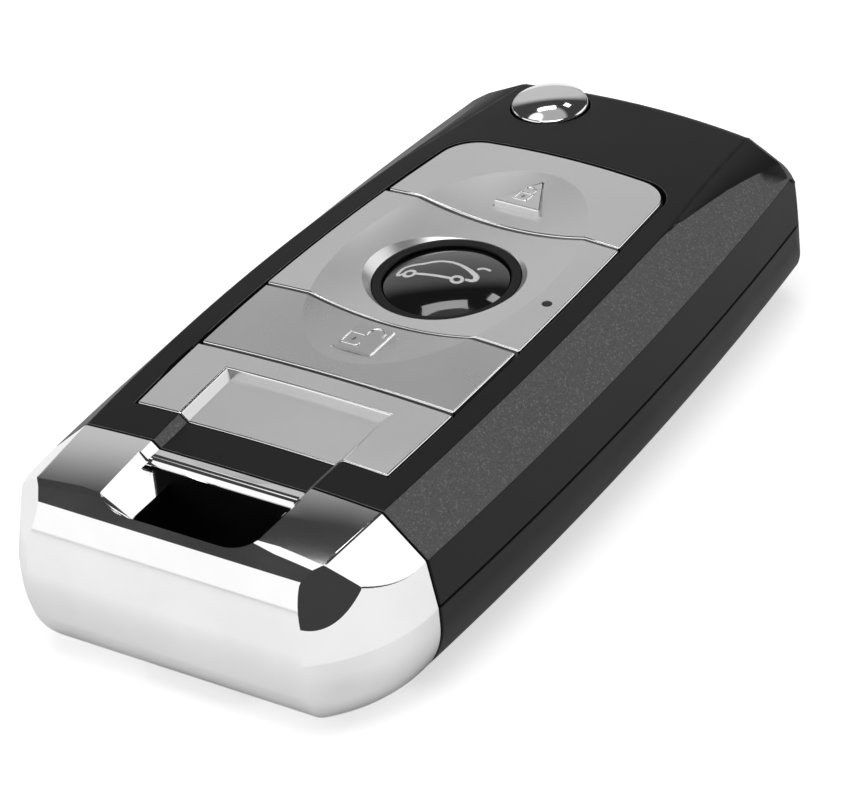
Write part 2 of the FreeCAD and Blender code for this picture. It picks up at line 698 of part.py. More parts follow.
lock_pad = doc.addObject("Part::Wedge", "lock_pad")
bind(lock_pad, Xmin="-(lock_pad_half)", Xmax="lock_pad_half", X2min="-(lock_pad_tip_half)",
     X2max="lock_pad_tip_half", Ymin="0", Ymax="lock_pad_tip_y - lock_pad_y", Zmin="0", Zmax="pad_depth",
     Z2min="0", Z2max="pad_depth + lock_pad_tip_z - lock_pad_z", y="lock_pad_y", z="lock_pad_z - pad_depth")
unlock_pad = box("unlock_pad", "-(unlock_pad_half)", "unlock_pad_half", "unlock_pad_near_y",
                 "unlock_pad_far_y", "unlock_pad_z - pad_depth", "unlock_pad_z")
lock_button = button("lock_button",
                     far_panel("lock_outline", "-(seam_gap)", "lock_near_y + seam_gap"),
                     panel("lock_room", "-(button_wall)", "lock_near_y + button_wall",
                           "panel_far_y - 2 * button_wall"),
                     far_panel("lock_lip", "flange_lip", "lock_near_y - flange_lip"),
                     "(lock_near_y + panel_far_y) / 2", [lock_pad])
unlock_button = button("unlock_button",
                       panel("unlock_outline", "-(seam_gap)", "unlock_near_y + seam_gap",
                             "unlock_far_y - seam_gap"),
                       panel("unlock_room", "-(button_wall)", "unlock_near_y + button_wall",
                             "unlock_far_y - button_wall"),
                       panel("unlock_lip", "flange_lip", "unlock_near_y - flange_lip",
                             "unlock_far_y + flange_lip"),
                       "(unlock_near_y + unlock_far_y) / 2", [unlock_pad])
dome_radius = "(trunk_r ^ 2 + trunk_rise ^ 2) / (2 * trunk_rise)"
trunk_dome = doc.addObject("Part::Sphere", "trunk_dome")
bind(trunk_dome, Radius=dome_radius, y="trunk_y", z=f"trunk_edge_z + trunk_rise - {dome_radius}")
trunk_button = fuse("trunk_button",
                    common("trunk_cap", cut("trunk_stem", post("trunk_post", "0", "trunk_y", "10", "30",
                                                               "trunk_r"), crown_flange_low), trunk_dome),
                    cut("trunk_flange", common("trunk_lip", post("trunk_disc", "0", "trunk_y", "10", "30",
                                                                 "trunk_r + flange_lip"),
                                               crown_flange_top), crown_flange_low),
                    common("trunk_plunger", post("trunk_rod", "0", "trunk_y", plunger_z, "30", "nub_r"),
                           crown_flange_top))

# Circuit board, switches, light, chips and the rubber pad over them

board_top = "board_z + board_thick"
circuit_board = cut("circuit_board",
                    fillet("board_blank", box("board_box", board_left, "board_right", "board_near",
                                              "board_far", "board_z", board_top),
                           size("board_corner"), upright),
                    *[post(f"{side}_board_hole", *SCREWS[side], "0", "20", "top_boss_r + loose_gap")
                      for side in ("left", "right")])
SWITCHES = {"lock_switch": "(lock_near_y + panel_far_y) / 2",
            "unlock_switch": "(unlock_near_y + unlock_far_y) / 2", "trunk_switch": "trunk_y"}
switches = []
for word, y in SWITCHES.items():
    case = box(word + "_case", "-(switch_side) / 2", "switch_side / 2", f"{y} - switch_side / 2",
               f"{y} + switch_side / 2", board_top, f"{board_top} + switch_tall")
    pin = post(word + "_pin", "0", y, f"{board_top} + switch_tall / 2",
               f"{board_top} + switch_tall + switch_pin", "switch_pin_r")
    switches.append(fuse(word, case, pin))
indicator_led = box("indicator_led", "led_x - 2 * led_r", "led_x + 2 * led_r", "led_y - led_r",
                    "led_y + led_r", board_top, f"{board_top} + 1.8 * led_r")
control_chip = box("control_chip", "chip_left", "chip_left + chip_wide", "chip_near",
                   "chip_near + chip_long", board_top, f"{board_top} + chip_tall")
crystal = fillet("crystal", box("crystal_box", "crystal_left", "crystal_left + crystal_wide", "crystal_near",
                                "crystal_near + crystal_long", board_top, f"{board_top} + crystal_tall"),
                 size("crystal_corner"), upright)
pad_left = f"{board_left} + loose_gap"
pad_outer = box("pad_outer", pad_left, "pad_right", "pad_near", "pad_far", board_top,
                f"{sheet_z} + pad_sheet")
pad_inner = box("pad_inner", f"{pad_left} + pad_wall", "pad_right - pad_wall", "pad_near + pad_wall",
                "pad_far - pad_wall", "0", sheet_z)
nubs = [post(word + "_nub", "0", y, f"{sheet_z} + pad_sheet / 2", f"{sheet_z} + pad_sheet + nub_tall",
             "nub_r") for word, y in SWITCHES.items()]
button_pad = cut("button_pad",
                 fuse("pad_whole",
                      cut("pad_shell", fillet("pad_blank", pad_outer, size("pad_corner"), upright),
                          pad_inner), *nubs),
                 post("pad_led_hole", "led_x", "led_y", "0", "30", "3 * led_r"))

# Coin cell, its two contacts and the transponder

cell_z = "floor_wall + strip + fit_gap"
coin_cell = fuse("coin_cell",
                 post("cell_can", "cell_x", "cell_y", cell_z, f"{cell_z} + cell_can", "cell_r"),
                 post("cell_lid", "cell_x", "cell_y", cell_z, f"{cell_z} + cell_thick", "cell_lid_r"))
tab_y = "cell_y - cell_r - 2 * strip"
strip_x = ("cell_x - strip_width / 2", "cell_x + strip_width / 2")
positive_contact = fuse("positive_contact",
                        box("positive_strip", *strip_x, tab_y, "cell_y + leaf_leg", "floor_wall",
                            "floor_wall + strip"),
                        box("positive_tab", *strip_x, tab_y, f"{tab_y} + strip", "floor_wall", "board_z"))
leaf_low = f"{cell_z} + cell_thick + fit_gap"
negative_contact = fuse("negative_contact",
                        box("negative_foot", *strip_x, "cell_y - leaf_near", "cell_y + leaf_leg", leaf_low,
                            f"{leaf_low} + strip"),
                        box("negative_leg", *strip_x, "cell_y + leaf_leg - strip", "cell_y + leaf_leg",
                            leaf_low, "board_z"),
                        box("negative_plate", *strip_x, "cell_y + leaf_leg - strip", "cell_y + leaf_far",
                            "board_z - strip", "board_z"))
transponder_chip = fillet("transponder_chip",
                          box("transponder_box", "tag_left", "tag_left + tag_wide", "tag_near",
                              "tag_near + tag_long", "floor_wall", "floor_wall + tag_tall"),
                          size("tag_corner"), upright)

# Screws: one node of three separate screws

screw_bodies = []
for side, (x, y) in SCREWS.items():
    whole = fuse(f"{side}_screw_whole",
                 post(f"{side}_screw_head", x, y, "screw_sink", "screw_sink + screw_head", "screw_head_r"),
                 post(f"{side}_screw_shank", x, y, "screw_sink", "screw_reach", "screw_r"))
    arms = [box(f"{side}_screw_slot_x", f"{x} - cross_half", f"{x} + cross_half", f"{y} - cross_slot",
                f"{y} + cross_slot", "0", "screw_sink + cross_deep"),
            box(f"{side}_screw_slot_y", f"{x} - cross_slot", f"{x} + cross_slot", f"{y} - cross_half",
                f"{y} + cross_half", "0", "screw_sink + cross_deep")]
    screw_bodies.append(cut(f"{side}_screw", whole, *arms))
shell_screws = doc.addObject("Part::Compound", "shell_screws")
shell_screws.Links = screw_bodies

# Blade head: eye round the pivot, block that holds the tang, collar under the release button

corner_outline = fillet("corner_outline",
                        common("corner_blunt",
                               lens("corner_sides", "half_width - blade_clear", "side_radius",
                                    "head_bottom", "head_top"),
                               box("corner_near", "-30", "0", "head_front_y", "60", "head_bottom",
                                   "head_top"),
                               post("corner_end", "0", "far_end_y - far_end_radius", "head_bottom",
                                    "head_top", "far_end_radius - blade_clear")),
                        size("far_corner"), lambda e: upright(e) and e.CenterOfMass.y > 31
                        and e.CenterOfMass.x < -10)
head_block = common("head_block", corner_outline,
                    box("head_box", "pivot_x - head_outer", "pivot_x - head_inner", "head_front_y", "60",
                        "head_bottom", "head_top"),
                    fuse("head_reach",
                         post("head_back", "pivot_x", "pivot_y", "head_bottom", "head_top",
                              "head_outer + swing_gap / 2"),
                         box("head_front", "-30", "pivot_x", "head_front_y - 1", "pivot_y", "head_bottom",
                             "head_top")))
tang_slot = box("tang_slot", "pivot_x - blade_offset - tang_width / 2 - fit_gap",
                "pivot_x - blade_offset + tang_width / 2 + fit_gap", "head_front_y - 1",
                "blade_root_y + tang_length + fit_gap", "blade_z - fit_gap",
                "blade_z + blade_thick + fit_gap")
pin_y = "blade_root_y + tang_length / 2"
blade_head = cut("blade_head",
                 fuse("head_whole", head_block,
                      post("head_eye", "pivot_x", "pivot_y", "head_bottom", "head_top", "head_r"),
                      post("head_collar", "pivot_x", "pivot_y", "head_bottom", "collar_top", "collar_r")),
                 post("head_bore_hole", "pivot_x", "pivot_y", "head_bottom + head_floor", "30", "head_bore"),
                 post("head_post_hole", "pivot_x", "pivot_y", "0", "30", "post_r + run_gap"),
                 tang_slot,
                 post("head_pin_hole", "pivot_x - blade_offset", pin_y, "0", "30", "pin_r + fit_gap / 2"),
                 box("head_keyway", "pivot_x - key_reach - run_gap", "pivot_x + key_reach + run_gap",
                     "pivot_y - key_width / 2 - run_gap", "pivot_y + key_width / 2 + run_gap",
                     "skirt_z - release_press - swing_low", "30"))

# Uncut key blade with a groove in each face, and its roll pin

nose = doc.addObject("Part::Wedge", "blade_nose_wedge")
bind(nose, Xmin="-(blade_width) / 2", Xmax="blade_width / 2", X2min="-(blade_tip_half)",
     X2max="blade_tip_half", Ymin="0", Ymax="blade_nose", Zmin="0", Zmax="blade_thick", Z2min="0",
     Z2max="blade_thick", x="pivot_x - blade_offset", y="blade_tip_y + blade_nose",
     z="blade_z + blade_thick")
turned(nose, (1, 0, 0), 180)
blade_x = ("pivot_x - blade_offset - blade_width / 2", "pivot_x - blade_offset + blade_width / 2")
tang_x = ("pivot_x - blade_offset - tang_width / 2", "pivot_x - blade_offset + tang_width / 2")
groove_x = ("pivot_x - blade_offset - groove_width / 2", "pivot_x - blade_offset + groove_width / 2")
blade_layer = ("blade_z", "blade_z + blade_thick")
key_blade = cut("key_blade",
                fuse("blade_whole", nose,
                     box("blade_bar", *blade_x, "blade_tip_y + blade_nose", "blade_root_y", *blade_layer),
                     box("blade_tang", *tang_x, "blade_root_y - 1", "blade_root_y + tang_length",
                         *blade_layer)),
                box("groove_low", *groove_x, "blade_tip_y - 1", "blade_root_y - groove_end", "0",
                    "blade_z + groove_depth"),
                box("groove_high", *groove_x, "blade_tip_y - 1", "blade_root_y - groove_end",
                    "blade_z + blade_thick - groove_depth", "30"),
                post("tang_pin_hole", "pivot_x - blade_offset", pin_y, "0", "30", "pin_r + fit_gap / 2"))
roll_pin = cut("roll_pin",
               post("pin_out", "pivot_x - blade_offset", pin_y, "head_bottom + swing_low",
                    "head_top - swing_low", "pin_r"),
               post("pin_in", "pivot_x - blade_offset", pin_y, "0", "30", "pin_bore"),
               box("pin_slit", "pivot_x - blade_offset - pin_slit_half",
                   "pivot_x - blade_offset + pin_slit_half", pin_y,
                   f"{pin_y} + 2", "0", "30"))

# Flip spring: three free turns between the floor of the head and the skirt of the release button

spring_line = doc.addObject("Part::Helix", "spring_line")
spring_low = "head_bottom + head_floor + wire / 2 + fit_gap"
bind(spring_line, Height=f"skirt_z - fit_gap - wire / 2 - ({spring_low})", Radius="spring_r",
     Pitch=f"(skirt_z - fit_gap - wire / 2 - ({spring_low})) / spring_turns", x="pivot_x", y="pivot_y",
     z=spring_low)
spring_ring = doc.addObject("Part::Circle", "spring_ring")
bind(spring_ring, Radius="wire / 2", x="pivot_x + spring_r", y="pivot_y", z=spring_low)
turned(spring_ring, (1, 0, 0), 90)
flip_spring = doc.addObject("Part::Sweep", "flip_spring")
flip_spring.Sections = [spring_ring]
doc.recompute()
flip_spring.Spine = (spring_line, [f"Edge{i}" for i in range(1, len(spring_line.Shape.Edges) + 1)])
flip_spring.Solid = True
flip_spring.Frenet = True

# Release button: domed chrome cap on a keyed skirt that slides in the blade head

release_dome = doc.addObject("Part::Sphere", "release_dome")
release_ball = "(release_r ^ 2 + release_rise ^ 2) / (2 * release_rise)"
bind(release_dome, Radius=release_ball, x="pivot_x", y="pivot_y",
     z=f"release_edge_z + release_rise - {release_ball}")
release_button = fuse("release_button",
                      common("release_cap", post("release_post", "pivot_x", "pivot_y", "release_under_z",
                                                 "release_edge_z + release_rise + 1", "release_r"),
                             release_dome),
                      post("release_skirt", "pivot_x", "pivot_y", "skirt_z", "release_under_z + 1",
                           "head_bore - run_gap"),
                      box("release_key", "pivot_x - key_reach", "pivot_x + key_reach",
                          "pivot_y - key_width / 2", "pivot_y + key_width / 2", "skirt_z",
                          "release_under_z + 0.5"))

NODES = [top_shell, bottom_shell, end_cap, lower_plate, middle_plate, lock_button, unlock_button,
         trunk_button, trunk_ring, light_pipe, button_pad, circuit_board, *switches, indicator_led,
         control_chip, crystal, coin_cell, positive_contact, negative_contact, transponder_chip,
         shell_screws, blade_head, key_blade, roll_pin, flip_spring, release_button]

doc.recompute()
for obj in doc.Objects:
    if "Invalid" in obj.State or "Error" in obj.State:
        raise SystemExit(f"{obj.Name} failed: {obj.getStatusString()}")
os.makedirs("parts", exist_ok=True)
for node in NODES:
    node.Label = node.Name
    shape = node.Shape
    if shape.isNull() or not shape.isValid():
        raise SystemExit(f"{node.Label} has no valid shape")
    shape.exportStep(f"parts/{node.Label}.step")
    print(f"{node.Label}: {len(shape.Solids)} solid(s), {shape.Volume:.1f} mm3")
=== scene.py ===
# %% [markdown]
# # Dressing a flip remote key
#
# The key is already built as solids: two black shells, a silver button panel, a chrome end cap, a chrome
# release button and a blade that swings out. Blender's work is what the eye judges: edges that catch the
# light, grain, paint, plating, the white car on the trunk button, and a studio for the metal to mirror.

import json
from math import degrees, radians

import bmesh
import bpy
from mathutils import Matrix, Vector
from mathutils.bvhtree import BVHTree
from mathutils.kdtree import KDTree

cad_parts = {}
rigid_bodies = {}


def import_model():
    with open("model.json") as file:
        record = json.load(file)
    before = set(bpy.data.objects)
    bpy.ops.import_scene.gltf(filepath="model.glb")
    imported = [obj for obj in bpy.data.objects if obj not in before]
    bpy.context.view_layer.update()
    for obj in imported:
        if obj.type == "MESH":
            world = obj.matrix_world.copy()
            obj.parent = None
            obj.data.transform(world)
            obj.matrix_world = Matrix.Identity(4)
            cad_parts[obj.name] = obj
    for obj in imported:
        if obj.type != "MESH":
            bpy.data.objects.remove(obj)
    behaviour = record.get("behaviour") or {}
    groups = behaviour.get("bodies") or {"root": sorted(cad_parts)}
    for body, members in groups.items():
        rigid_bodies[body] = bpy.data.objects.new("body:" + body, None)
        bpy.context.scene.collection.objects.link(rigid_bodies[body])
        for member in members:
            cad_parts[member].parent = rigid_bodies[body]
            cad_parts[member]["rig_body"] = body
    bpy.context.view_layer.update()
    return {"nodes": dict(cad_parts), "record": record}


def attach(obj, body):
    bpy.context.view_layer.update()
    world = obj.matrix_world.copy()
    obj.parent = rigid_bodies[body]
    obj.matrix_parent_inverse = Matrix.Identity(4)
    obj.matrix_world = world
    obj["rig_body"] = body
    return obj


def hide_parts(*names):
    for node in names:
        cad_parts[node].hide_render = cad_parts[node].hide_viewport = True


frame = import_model()
key_nodes = frame["nodes"]
MM = 0.001

# %% [markdown]
# ## Camera
#
# A long lens from about 40 centimetres flattens the key as the photograph does. The camera's own three
# directions are written as columns of its matrix: right, up, and backwards.

# %% Place the camera
scene = bpy.context.scene
scene.view_settings.view_transform = "Standard"

camera_data = bpy.data.cameras.new("photo_camera")
camera_data.lens = 207.9
camera_data.sensor_width = 36.0
camera_data.clip_start = 0.01
camera_data.clip_end = 10.0
camera = bpy.data.objects.new("photo_camera", camera_data)
scene.collection.objects.link(camera)

camera_place = Vector((201.12, -278.33, 235.04)) * MM
camera_right = Vector((0.8399, 0.5358, -0.0867))
camera_up = Vector((-0.2386, 0.5080, 0.8277))
camera_back = camera_right.cross(camera_up)
for row in range(3):
    camera.matrix_world[row][0] = camera_right[row]
    camera.matrix_world[row][1] = camera_up[row]
    camera.matrix_world[row][2] = camera_back[row]
    camera.matrix_world[row][3] = camera_place[row]
scene.camera = camera
print("camera at", [round(v / MM, 1) for v in camera_place])

# %% [markdown]
# ## Small helpers for shader nodes
#
# Materials are graphs of nodes. Two helpers keep the cells below short: one adds a node with its options, the
# other fills its sockets, either with a number or with another node's output.


# %% Node helpers
def add(tree, kind, **options):
    """A new shader node in this tree, with its options set."""
    node = tree.nodes.new("ShaderNode" + kind)
    for option, value in options.items():
        setattr(node, option, value)
    return node


def feed(tree, node, **sockets):
    """Fills sockets by name, with _ for a space, or by number, as _0: an output is linked, a value is set."""
    for word, value in sockets.items():
        key = int(word[1:]) if word[1:].isdigit() else word.replace("_", " ")
        socket = node.inputs[key]
        if isinstance(value, bpy.types.NodeSocket):
            tree.links.new(value, socket)
        else:
            socket.default_value = value
    return node


def grey(level):
    return (level, level, level, 1.0)


print("node helpers ready")

# %% [markdown]
# ## Shader group: fine grain
#
# Spark-eroded plastic is a carpet of tiny pits, and here and there one pit throws the light back as a fleck,
# painted in as a paler speck: a painted glint.
# One group makes both from the object's own coordinates, so the grain keeps its size on every piece: a height
# for the bump, and a mask of flecks. A slow cloud beside them varies colour and roughness like handling.


# %% Build the grain group
def new_group(name, inputs, outputs):
    """An empty shader group with its sockets, and its two end nodes."""
    group = bpy.data.node_groups.new(name, "ShaderNodeTree")
    for socket, kind, value in inputs:
        made = group.interface.new_socket(socket, in_out="INPUT", socket_type="NodeSocket" + kind)
        if value is not None:
            made.default_value = value
    for socket, kind in outputs:
        group.interface.new_socket(socket, in_out="OUTPUT", socket_type="NodeSocket" + kind)
    return group, group.nodes.new("NodeGroupInput"), group.nodes.new("NodeGroupOutput")


grain_group, grain_in, grain_out = new_group(
    "Fine grain",
    [("Vector", "Vector", None), ("Grains per metre", "Float", 6000.0), ("Cloud per metre", "Float", 60.0),
     ("Fleck share", "Float", 0.2)],
    [("Height", "Float"), ("Fleck", "Float"), ("Cloud", "Float")])
pits = add(grain_group, "TexNoise", noise_dimensions="3D")
feed(grain_group, pits, Vector=grain_in.outputs["Vector"], Scale=grain_in.outputs["Grains per metre"],
     Detail=2.0, Roughness=0.6)
cells = add(grain_group, "TexVoronoi", feature="F1")
feed(grain_group, cells, Vector=grain_in.outputs["Vector"], Scale=grain_in.outputs["Grains per metre"])
cell_tone = add(grain_group, "SeparateColor")
feed(grain_group, cell_tone, Color=cells.outputs["Color"])
fleck = add(grain_group, "Math", operation="LESS_THAN")
feed(grain_group, fleck, _0=cell_tone.outputs["Red"], _1=grain_in.outputs["Fleck share"])
fleck_depth = add(grain_group, "Math", operation="MULTIPLY")
feed(grain_group, fleck_depth, _0=fleck.outputs[0], _1=cell_tone.outputs["Green"])
cloud = add(grain_group, "TexNoise", noise_dimensions="3D")
feed(grain_group, cloud, Vector=grain_in.outputs["Vector"], Scale=grain_in.outputs["Cloud per metre"],
     Detail=5.0, Roughness=0.55)
feed(grain_group, grain_out, Height=pits.outputs["Fac"], Fleck=fleck_depth.outputs[0],
     Cloud=cloud.outputs["Fac"])
print("group sockets:", [item.name for item in grain_group.interface.items_tree])

# %% [markdown]
# ## Shader group: a band of tilt
#
# The shell's top is smooth and its wide bevels are grained, and both are one moulding. What tells them apart
# is how far they lean: the top faces up, the bevels lean by about half a right angle, the sides stand. So
# this group reads the surface's own normal and answers one only between two tilts, with soft ends.

# %% Build the tilt group
tilt_group, tilt_in, tilt_out = new_group(
    "Tilt band",
    [("Low", "Float", 0.42), ("High", "Float", 0.86), ("Soft", "Float", 0.03)],
    [("Mask", "Float")])
own_normal = add(tilt_group, "TexCoord")
up_part = add(tilt_group, "SeparateXYZ")
feed(tilt_group, up_part, Vector=own_normal.outputs["Normal"])
low_end = add(tilt_group, "Math", operation="ADD")
feed(tilt_group, low_end, _0=tilt_in.outputs["Low"], _1=tilt_in.outputs["Soft"])
high_end = add(tilt_group, "Math", operation="ADD")
feed(tilt_group, high_end, _0=tilt_in.outputs["High"], _1=tilt_in.outputs["Soft"])
above = add(tilt_group, "MapRange", interpolation_type="SMOOTHSTEP")
feed(tilt_group, above, Value=up_part.outputs["Z"], From_Min=tilt_in.outputs["Low"],
     From_Max=low_end.outputs[0])
below = add(tilt_group, "MapRange", interpolation_type="SMOOTHSTEP")
feed(tilt_group, below, Value=up_part.outputs["Z"], From_Min=tilt_in.outputs["High"],
     From_Max=high_end.outputs[0], To_Min=1.0, To_Max=0.0)
between = add(tilt_group, "Math", operation="MULTIPLY")
feed(tilt_group, between, _0=above.outputs["Result"], _1=below.outputs["Result"])
feed(tilt_group, tilt_out, Mask=between.outputs[0])
print("group sockets:", [item.name for item in tilt_group.interface.items_tree])

# %% [markdown]
# ## One recipe for most finishes
#
# Moulded, painted and plated surfaces differ in their numbers more than in their structure. The recipe mixes
# two tones by the slow cloud, lets the cloud vary the roughness a little, and bumps the surface with the
# grain. The cloud seldom leaves its middle values, so those are spread over the whole mix. The brushed
# finishes stretch the grain along the blade first.


# %% The finish recipe
CLOUD_FOR_TONE = (0.35, 0.65)
CLOUD_FOR_ROUGHNESS = (0.3, 0.7)
GRAIN_RELIEF = 0.02 * MM


def finish(name, dark, light, metallic, rough, grain=4000.0, bump=0.0, cloud=60.0, stretch=None, **plain):
    """A material from two tones, a pair of roughness values, and the size and depth of its grain."""
    material = bpy.data.materials.new(name)
    material.use_nodes = True
    tree = material.node_tree
    shader = tree.nodes["Principled BSDF"]
    place = add(tree, "TexCoord").outputs["Object"]
    if stretch:
        place = feed(tree, add(tree, "Mapping"), Vector=place, Scale=stretch).outputs[0]
    texture = add(tree, "Group", node_tree=grain_group)
    feed(tree, texture, Vector=place, Grains_per_metre=grain, Cloud_per_metre=cloud)
    tone = add(tree, "MapRange")
    feed(tree, tone, Value=texture.outputs["Cloud"], From_Min=CLOUD_FOR_TONE[0], From_Max=CLOUD_FOR_TONE[1])
    colour = add(tree, "Mix", data_type="RGBA")
    feed(tree, colour, Factor=tone.outputs["Result"], _6=dark, _7=light)
    haze = add(tree, "MapRange")
    feed(tree, haze, Value=texture.outputs["Cloud"], From_Min=CLOUD_FOR_ROUGHNESS[0],
         From_Max=CLOUD_FOR_ROUGHNESS[1], To_Min=rough[0], To_Max=rough[1])
    feed(tree, shader, Base_Color=colour.outputs[2], Roughness=haze.outputs["Result"], Metallic=metallic,
         **plain)
    if bump:
        relief = add(tree, "Bump")
        feed(tree, relief, Height=texture.outputs["Height"], Strength=bump, Distance=GRAIN_RELIEF)
        feed(tree, shader, Normal=relief.outputs["Normal"])
    material["texture"] = texture.name
    return material


print("recipe ready")

# %% [markdown]
# ## Black shell
#
# Satin black, smooth on top and on the sides, and grained grey-black on the bevels and on the slopes of the
# channel. The tilt band decides where, so no edge between two materials has to be drawn. On the grained part
# the plastic is paler, rougher and pitted, with flecks that glint, painted in as paler specks of colour.

# %% Shell plastic
BEVEL_SOFT_ENDS = 0.06
BEVEL_ROUGHNESS = 0.52
BEVEL_PIT_STRENGTH = 0.5
FLECK_TONES = (0.118, 0.20)
PIT_TONES = (0.75, 1.2)
shell_black = finish("shell_black", grey(0.0085), grey(0.0115), 0.0, (0.36, 0.46), grain=7500.0,
                     cloud=90.0, Specular_IOR_Level=0.17)
shell_tree = shell_black.node_tree
shell_shader = shell_tree.nodes["Principled BSDF"]
shell_texture = shell_tree.nodes[shell_black["texture"]]
tilt = feed(shell_tree, add(shell_tree, "Group", node_tree=tilt_group), Soft=BEVEL_SOFT_ENDS)
on_bevel = tilt.outputs["Mask"]
# Painted glint: the flecks get a paler colour than the grain round them.
fleck_tone = add(shell_tree, "MapRange")
feed(shell_tree, fleck_tone, Value=shell_texture.outputs["Fleck"], To_Min=FLECK_TONES[0],
     To_Max=FLECK_TONES[1])
pit_tone = add(shell_tree, "MapRange")
feed(shell_tree, pit_tone, Value=shell_texture.outputs["Height"], From_Min=0.3, From_Max=0.7,
     To_Min=PIT_TONES[0], To_Max=PIT_TONES[1])
bevel_tone = add(shell_tree, "Math", operation="MULTIPLY")
feed(shell_tree, bevel_tone, _0=fleck_tone.outputs["Result"], _1=pit_tone.outputs["Result"])
shell_colour = add(shell_tree, "Mix", data_type="RGBA")
feed(shell_tree, shell_colour, Factor=on_bevel, _6=shell_shader.inputs["Base Color"].links[0].from_socket,
     _7=bevel_tone.outputs[0])
shell_rough = add(shell_tree, "Mix", data_type="FLOAT")
feed(shell_tree, shell_rough, _0=on_bevel, _2=shell_shader.inputs["Roughness"].links[0].from_socket,
     _3=BEVEL_ROUGHNESS)
pit_depth = add(shell_tree, "Math", operation="MULTIPLY")
feed(shell_tree, pit_depth, _0=shell_texture.outputs["Height"], _1=on_bevel)
shell_relief = add(shell_tree, "Bump")
feed(shell_tree, shell_relief, Height=pit_depth.outputs[0], Strength=BEVEL_PIT_STRENGTH,
     Distance=GRAIN_RELIEF)
feed(shell_tree, shell_shader, Base_Color=shell_colour.outputs[2], Roughness=shell_rough.outputs[0],
     Normal=shell_relief.outputs["Normal"])
print("shell material nodes:", len(shell_tree.nodes))

# %% [markdown]
# ## The other finishes
#
# The panel is silver paint: metal flake under a satin lacquer. The cap and the release button are plated and
# polished, so they only vary in haze. The blade is brushed along its length. Inside are rubber, green board,
# moulded packages and bright sheet.

# %% Silver, chrome and steel
panel_silver = finish("panel_silver", grey(0.74), grey(0.80), 0.80, (0.26, 0.33), grain=9000.0,
                      bump=0.08, cloud=45.0)
button_silver = finish("button_silver", grey(0.57), grey(0.63), 0.85, (0.26, 0.31), grain=9000.0,
                       bump=0.08, cloud=70.0)
# Painted highlight: a lighter, glossier copy of the silver for the panel's edge facets and the raised padlock
# lines.
bright_edge = finish("bright_edge", grey(0.93), grey(0.97), 1.0, (0.08, 0.14), cloud=200.0)
chrome = finish("chrome", grey(0.86), grey(0.91), 1.0, (0.035, 0.085), grain=900.0, bump=0.012,
                cloud=120.0)
blade_steel = finish("blade_steel", grey(0.50), (0.62, 0.615, 0.60, 1.0), 1.0, (0.22, 0.34),
                     grain=5000.0, bump=0.35, cloud=300.0, stretch=(1.0, 0.02, 1.0))
spring_steel = finish("spring_steel", grey(0.42), grey(0.52), 1.0, (0.2, 0.32), grain=3000.0, bump=0.1)
bright_metal = finish("bright_metal", grey(0.66), (0.78, 0.77, 0.74, 1.0), 1.0, (0.16, 0.28),
                      grain=2500.0, bump=0.08, cloud=150.0)
print("metals:", [m.name for m in (panel_silver, button_silver, bright_edge, chrome, blade_steel,
                                   spring_steel, bright_metal)])

# %% Black gloss, rubber, board and the rest
gloss_black = finish("gloss_black", grey(0.004), grey(0.007), 0.0, (0.03, 0.07), cloud=140.0,
                     Coat_Weight=0.6, Coat_Roughness=0.03)
# Painted shade: dead black for the groove between the shells and for the keyring slot, where no light
# reaches.
gap_black = finish("gap_black", grey(0.0015), grey(0.003), 0.0, (0.6, 0.7), cloud=200.0,
                   Specular_IOR_Level=0.1)
ring_black = finish("ring_black", grey(0.004), grey(0.007), 0.0, (0.22, 0.3), grain=4000.0, bump=0.05,
                    Specular_IOR_Level=0.15)
pad_rubber = finish("pad_rubber", grey(0.10), grey(0.15), 0.0, (0.62, 0.75), grain=3500.0, bump=0.3)
board_green = finish("board_green", (0.010, 0.10, 0.035, 1.0), (0.02, 0.17, 0.065, 1.0), 0.0, (0.28, 0.4),
                     grain=1500.0, bump=0.2, cloud=500.0)
part_black = finish("part_black", grey(0.02), grey(0.04), 0.0, (0.45, 0.6), grain=5000.0, bump=0.3)
led_white = finish("led_white", (0.78, 0.76, 0.66, 1.0), (0.88, 0.86, 0.78, 1.0), 0.0, (0.15, 0.25),
                   cloud=900.0)
smoked_clear = finish("smoked_clear", grey(0.003), grey(0.006), 0.0, (0.08, 0.14), cloud=900.0,
                      Transmission_Weight=0.3, IOR=1.49)
mark_white = finish("mark_white", grey(0.72), grey(0.80), 0.0, (0.3, 0.4), grain=6000.0, bump=0.05,
                    cloud=400.0)
print("others:", [m.name for m in (gloss_black, gap_black, ring_black, pad_rubber, board_green,
                                   part_black, led_white, smoked_clear, mark_white)])

# %% Give every node its finish
finish_of_slot = {"shell_black": shell_black, "panel_silver": panel_silver, "gloss_black": gloss_black,
                  "chrome": chrome, "blade_steel": blade_steel, "pad_rubber": pad_rubber,
                  "board_green": board_green, "part_black": part_black, "bright_metal": bright_metal,
                  "spring_steel": spring_steel, "clear": smoked_clear, "led_white": led_white}
slot_of = {part["node"]: part["material_slot"] for part in frame["record"]["subparts"]}
for name, node in key_nodes.items():
    node.data.materials.clear()
    node.data.materials.append(finish_of_slot[slot_of[name]])
key_nodes["trunk_ring"].data.materials[0] = ring_black
key_nodes["unlock_button"].data.materials[0] = button_silver
print("dressed:", len(slot_of))

# %% [markdown]
# ## Edges that catch the light
#
# No moulded or plated edge is a knife edge, and the thin bright lines round the panel pieces are just such
# edges. The solids keep their edges crisp, so each piece that shows is copied, its loose triangles are
# merged, and its outward edges are bevelled by a tenth of a millimetre or so. A Bevel modifier would round
# every edge alike; the operator takes a list, so that rims which stay crisp can be left out.

# %% Find ridges and bevel them
RIDGE_ANGLE = radians(16.0)
FLAT_ANGLE = radians(0.2)


def skin_of(solid):
    """A tree of the solid's faces, which finds nearest points and answers rays."""
    return BVHTree.FromPolygons([v.co for v in solid.vertices], [f.vertices for f in solid.polygons])


